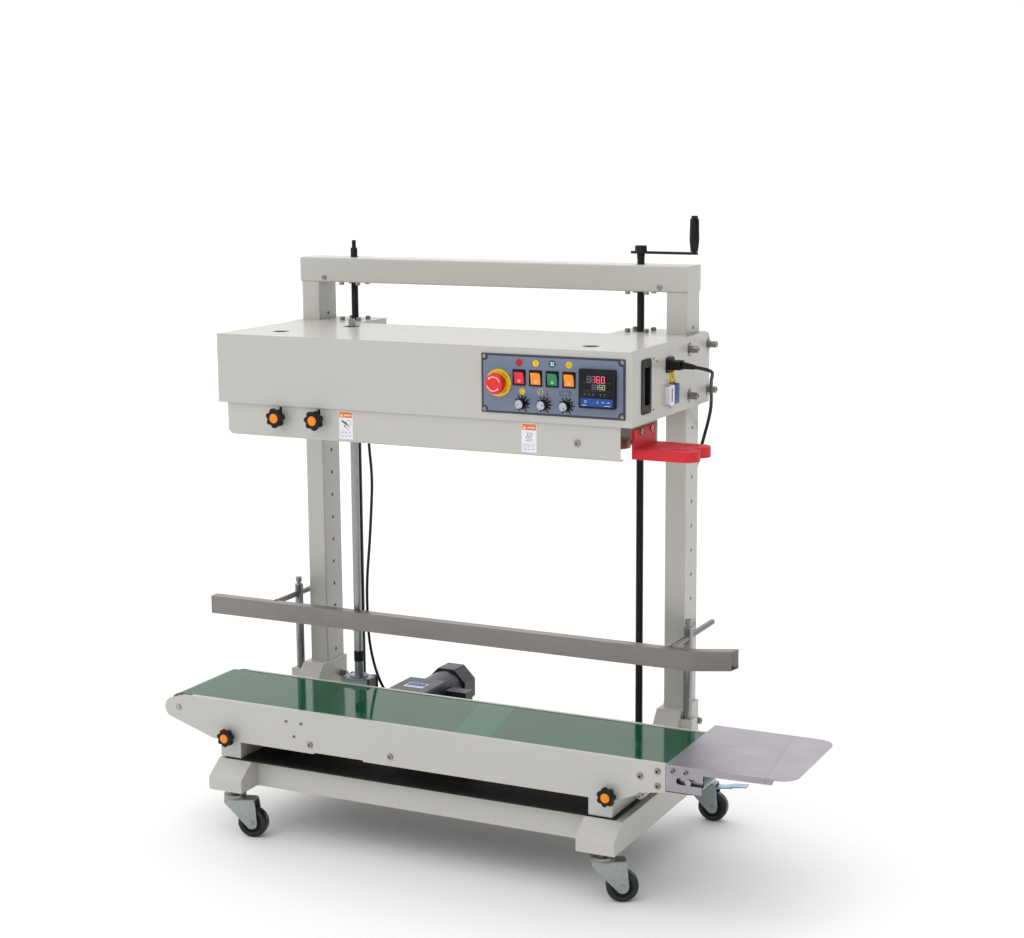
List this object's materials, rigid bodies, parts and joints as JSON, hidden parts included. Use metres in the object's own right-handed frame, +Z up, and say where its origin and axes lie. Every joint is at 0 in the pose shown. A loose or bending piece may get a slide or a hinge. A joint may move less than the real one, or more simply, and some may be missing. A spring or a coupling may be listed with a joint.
{
  "type": "continuous band sealer",
  "caption": "Floor-standing band sealer: belt conveyor with loading tray, and a crank-lifted sealing head on two posts",
  "frame": {"origin": "middle of the machine's footprint, on the floor", "axes": "+X along the conveyor towards the loading tray, +Y to the back of the machine, +Z up"},
  "size_m": [1.4006, 0.5754, 1.276],
  "materials": {
    "cream_paint": "semi-gloss powder coat",
    "black_sheet": "satin",
    "green_belt": "glossy PVC",
    "stainless": "brushed",
    "motor_paint": "satin",
    "gearbox_casting": "satin",
    "bare_steel": "turned",
    "black_steel": "black oxide",
    "bright_screws": "bright",
    "black_plastic": "satin",
    "panel_face": "satin",
    "red_paint": "powder coat",
    "red_plastic": "gloss",
    "orange_plastic": "gloss",
    "green_plastic": "gloss",
    "band_cloth": "coated glass cloth",
    "black_cord": "satin",
    "zinc": "zinc plated",
    "black_wheel": "satin"
  },
  "bodies": {
    "frame": {"base_frame": "cream_paint", "deck_plate": "black_sheet", "posts": "cream_paint", "top_beam": "cream_paint", "conveyor_frame": "cream_paint", "conveyor_belt": "green_belt", "loading_tray": "stainless", "gear_motor": "motor_paint", "angle_gearbox": "gearbox_casting", "drive_chains": "bare_steel", "frame_fasteners": "bright_screws", "power_cord": "black_cord", "wall_plug": "black_plastic", "motor_cable": "black_cord"},
    "head": {"head_cover": "cream_paint", "head_chassis": "cream_paint", "lower_cover": "cream_paint", "control_panel": "panel_face", "infeed_guides": "red_paint", "seal_bands": "band_cloth", "head_fasteners": "bright_screws", "side_fittings": "black_plastic", "inlet_plug": "black_plastic"},
    "crank": {"right_lead_screw": "black_steel", "crank_arm": "black_steel"},
    "grip": {"crank_grip": "black_plastic"},
    "left_screw": {"left_lead_screw": "black_steel"},
    "stop": {"stop_button": "red_plastic"},
    "rail_carrier": {"rail_poles": "bare_steel"},
    "rail": {"guide_rail": "stainless"},
    "power_switch": {"power_switch": "red_plastic"},
    "seal_switch": {"seal_switch": "orange_plastic"},
    "fan_switch": {"fan_switch": "green_plastic"},
    "conveyor_switch": {"conveyor_switch": "orange_plastic"},
    "speed_dial": {"speed_dial": "black_plastic"},
    "count_dial": {"count_dial": "black_plastic"},
    "fan_dial": {"fan_dial": "black_plastic"},
    "left_head_knob": {"left_head_knob": "black_plastic"},
    "right_head_knob": {"right_head_knob": "black_plastic"},
    "left_conveyor_knob": {"left_conveyor_knob": "black_plastic"},
    "right_conveyor_knob": {"right_conveyor_knob": "black_plastic"},
    "front_drive_wheel": {"front_drive_wheel": "bare_steel"},
    "rear_drive_wheel": {"rear_drive_wheel": "bare_steel"},
    "front_idle_wheel": {"front_idle_wheel": "bare_steel"},
    "rear_idle_wheel": {"rear_idle_wheel": "bare_steel"},
    "drive_roller": {"drive_roller": "bare_steel"},
    "tail_roller": {"tail_roller": "bare_steel"},
    "motor_shaft": {"motor_shaft": "bare_steel"},
    "cross_shaft": {"cross_shaft": "bare_steel"},
    "drive_shaft": {"drive_shaft": "bare_steel"},
    "drive_sleeve": {"drive_sleeve": "bare_steel"},
    "brake_pedal": {"brake_pedal": "zinc"},
    "front_right_fork": {"front_right_caster": "zinc"},
    "front_right_wheel": {"front_right_wheel": "black_wheel"},
    "front_left_fork": {"front_left_caster": "zinc"},
    "front_left_wheel": {"front_left_wheel": "black_wheel"},
    "rear_right_fork": {"rear_right_caster": "zinc"},
    "rear_right_wheel": {"rear_right_wheel": "black_wheel"},
    "rear_left_fork": {"rear_left_caster": "zinc"},
    "rear_left_wheel": {"rear_left_wheel": "black_wheel"}
  },
  "joints": [
    {"name": "head_lift", "type": "slide", "parent": "frame", "child": "head", "axis": [0, 0, 1], "range_m": [-0.25, 0.06], "deforming": ["power_cord", "motor_cable"]},
    {"name": "crank_turn", "type": "hinge", "parent": "frame", "child": "crank", "pos_m": [0.24325, 0.1317, 1.179], "axis": [0, 0, 1], "range_deg": [-5460, 22560]},
    {"name": "left_screw_turn", "type": "hinge", "parent": "frame", "child": "left_screw", "pos_m": [-0.41875, 0.1317, 1.179], "axis": [0, 0, 1], "range_deg": [-5460, 22560]},
    {"name": "grip_spin", "type": "hinge", "parent": "crank", "child": "grip", "pos_m": [0.35625, 0.1317, 1.235], "axis": [0, 0, 1], "continuous": true},
    {"name": "stop_press", "type": "slide", "parent": "head", "child": "stop", "axis": [0, 1, 0], "range_m": [0, 0.004]},
    {"name": "power_switch_rock", "type": "hinge", "parent": "head", "child": "power_switch", "pos_m": [0.14825, -0.2233, 0.989], "axis": [1, 0, 0], "range_deg": [-16, 0]},
    {"name": "seal_switch_rock", "type": "hinge", "parent": "head", "child": "seal_switch", "pos_m": [0.18225, -0.2233, 0.989], "axis": [1, 0, 0], "range_deg": [-16, 0]},
    {"name": "fan_switch_rock", "type": "hinge", "parent": "head", "child": "fan_switch", "pos_m": [0.21625, -0.2233, 0.989], "axis": [1, 0, 0], "range_deg": [-16, 0]},
    {"name": "conveyor_switch_rock", "type": "hinge", "parent": "head", "child": "conveyor_switch", "pos_m": [0.25025, -0.2233, 0.989], "axis": [1, 0, 0], "range_deg": [-16, 0]},
    {"name": "speed_dial_turn", "type": "hinge", "parent": "head", "child": "speed_dial", "pos_m": [0.15425, -0.2373, 0.9405], "axis": [0, -1, 0], "range_deg": [-150, 150]},
    {"name": "count_dial_turn", "type": "hinge", "parent": "head", "child": "count_dial", "pos_m": [0.19945, -0.2373, 0.9405], "axis": [0, -1, 0], "range_deg": [-150, 150]},
    {"name": "fan_dial_turn", "type": "hinge", "parent": "head", "child": "fan_dial", "pos_m": [0.24465, -0.2373, 0.9405], "axis": [0, -1, 0], "range_deg": [-150, 150]},
    {"name": "left_head_knob_turn", "type": "hinge", "parent": "head", "child": "left_head_knob", "pos_m": [-0.38475, -0.2493, 0.883], "axis": [0, -1, 0], "range_deg": [0, 1080]},
    {"name": "right_head_knob_turn", "type": "hinge", "parent": "head", "child": "right_head_knob", "pos_m": [-0.29575, -0.2493, 0.883], "axis": [0, -1, 0], "range_deg": [0, 1080]},
    {"name": "left_conveyor_knob_turn", "type": "hinge", "parent": "frame", "child": "left_conveyor_knob", "pos_m": [-0.51575, -0.2688, 0.21], "axis": [0, -1, 0], "range_deg": [0, 1080]},
    {"name": "right_conveyor_knob_turn", "type": "hinge", "parent": "frame", "child": "right_conveyor_knob", "pos_m": [0.34025, -0.2688, 0.21], "axis": [0, -1, 0], "range_deg": [0, 1080]},
    {"name": "drive_roller_spin", "type": "hinge", "parent": "frame", "child": "drive_roller", "pos_m": [-0.64235, -0.1353, 0.2566], "axis": [0, -1, 0], "continuous": true},
    {"name": "tail_roller_spin", "type": "hinge", "parent": "frame", "child": "tail_roller", "pos_m": [0.49795, -0.1353, 0.2566], "axis": [0, -1, 0], "continuous": true},
    {"name": "motor_shaft_spin", "type": "hinge", "parent": "frame", "child": "motor_shaft", "pos_m": [-0.22025, -0.0273, 0.253], "axis": [0, -1, 0], "continuous": true},
    {"name": "cross_shaft_spin", "type": "hinge", "parent": "frame", "child": "cross_shaft", "pos_m": [-0.35865, -0.0773, 0.2497], "axis": [0, -1, 0], "continuous": true},
    {"name": "drive_shaft_spin", "type": "hinge", "parent": "frame", "child": "drive_shaft", "pos_m": [-0.34825, -0.0013, 0.595], "axis": [0, 0, 1], "continuous": true},
    {"name": "drive_sleeve_spin", "type": "hinge", "parent": "head", "child": "drive_sleeve", "pos_m": [-0.34825, -0.0013, 0.925], "axis": [0, 0, 1], "continuous": true},
    {"name": "front_drive_wheel_spin", "type": "hinge", "parent": "head", "child": "front_drive_wheel", "pos_m": [-0.3614, -0.1473, 0.853], "axis": [0, 0, 1], "continuous": true},
    {"name": "rear_drive_wheel_spin", "type": "hinge", "parent": "head", "child": "rear_drive_wheel", "pos_m": [-0.3614, -0.0873, 0.853], "axis": [0, 0, 1], "continuous": true},
    {"name": "front_idle_wheel_spin", "type": "hinge", "parent": "head", "child": "front_idle_wheel", "pos_m": [0.28225, -0.1473, 0.853], "axis": [0, 0, 1], "continuous": true},
    {"name": "rear_idle_wheel_spin", "type": "hinge", "parent": "head", "child": "rear_idle_wheel", "pos_m": [0.28225, -0.0873, 0.853], "axis": [0, 0, 1], "continuous": true},
    {"name": "rail_height", "type": "slide", "parent": "frame", "child": "rail_carrier", "axis": [0, 0, 1], "range_m": [0, 0.085]},
    {"name": "rail_depth", "type": "slide", "parent": "rail_carrier", "child": "rail", "axis": [0, 1, 0], "range_m": [-0.12, 0]},
    {"name": "front_right_swivel", "type": "hinge", "parent": "frame", "child": "front_right_fork", "pos_m": [0.32725, -0.2523, 0.09], "axis": [0, 0, 1], "continuous": true},
    {"name": "front_right_roll", "type": "hinge", "parent": "front_right_fork", "child": "front_right_wheel", "pos_m": [0.36185, -0.23542, 0.0315], "axis": [-0.4384, 0.8988, 0], "continuous": true},
    {"name": "front_left_swivel", "type": "hinge", "parent": "frame", "child": "front_left_fork", "pos_m": [-0.50275, -0.2523, 0.09], "axis": [0, 0, 1], "continuous": true},
    {"name": "front_left_roll", "type": "hinge", "parent": "front_left_fork", "child": "front_left_wheel", "pos_m": [-0.46539, -0.24299, 0.0315], "axis": [-0.2419, 0.9703, 0], "continuous": true},
    {"name": "rear_right_swivel", "type": "hinge", "parent": "frame", "child": "rear_right_fork", "pos_m": [0.32725, 0.2477, 0.09], "axis": [0, 0, 1], "continuous": true},
    {"name": "rear_right_roll", "type": "hinge", "parent": "rear_right_fork", "child": "rear_right_wheel", "pos_m": [0.3656, 0.25105, 0.0315], "axis": [-0.0872, 0.9962, 0], "continuous": true},
    {"name": "rear_left_swivel", "type": "hinge", "parent": "frame", "child": "rear_left_fork", "pos_m": [-0.50275, 0.2477, 0.09], "axis": [0, 0, 1], "continuous": true},
    {"name": "rear_left_roll", "type": "hinge", "parent": "rear_left_fork", "child": "rear_left_wheel", "pos_m": [-0.46657, 0.26087, 0.0315], "axis": [-0.342, 0.9397, 0], "continuous": true},
    {"name": "brake_pedal_press", "type": "hinge", "parent": "rear_right_fork", "child": "brake_pedal", "pos_m": [0.34717, 0.24944, 0.073], "axis": [-0.0872, 0.9962, 0], "range_deg": [0, 8]}
  ],
  "couplings": [
    {"joint": "crank_turn", "follows": "head_lift", "rad_per_m": -1570.8},
    {"joint": "left_screw_turn", "follows": "head_lift", "rad_per_m": -1570.8},
    {"joint": "tail_roller_spin", "follows": "drive_roller_spin", "ratio": 1},
    {"joint": "motor_shaft_spin", "follows": "drive_roller_spin", "ratio": 1},
    {"joint": "cross_shaft_spin", "follows": "drive_roller_spin", "ratio": 1},
    {"joint": "drive_shaft_spin", "follows": "drive_roller_spin", "ratio": 0.48},
    {"joint": "drive_sleeve_spin", "follows": "drive_roller_spin", "ratio": 0.48},
    {"joint": "front_drive_wheel_spin", "follows": "drive_roller_spin", "ratio": 0.912},
    {"joint": "rear_drive_wheel_spin", "follows": "drive_roller_spin", "ratio": -0.912},
    {"joint": "front_idle_wheel_spin", "follows": "drive_roller_spin", "ratio": 0.912},
    {"joint": "rear_idle_wheel_spin", "follows": "drive_roller_spin", "ratio": -0.912}
  ]
}
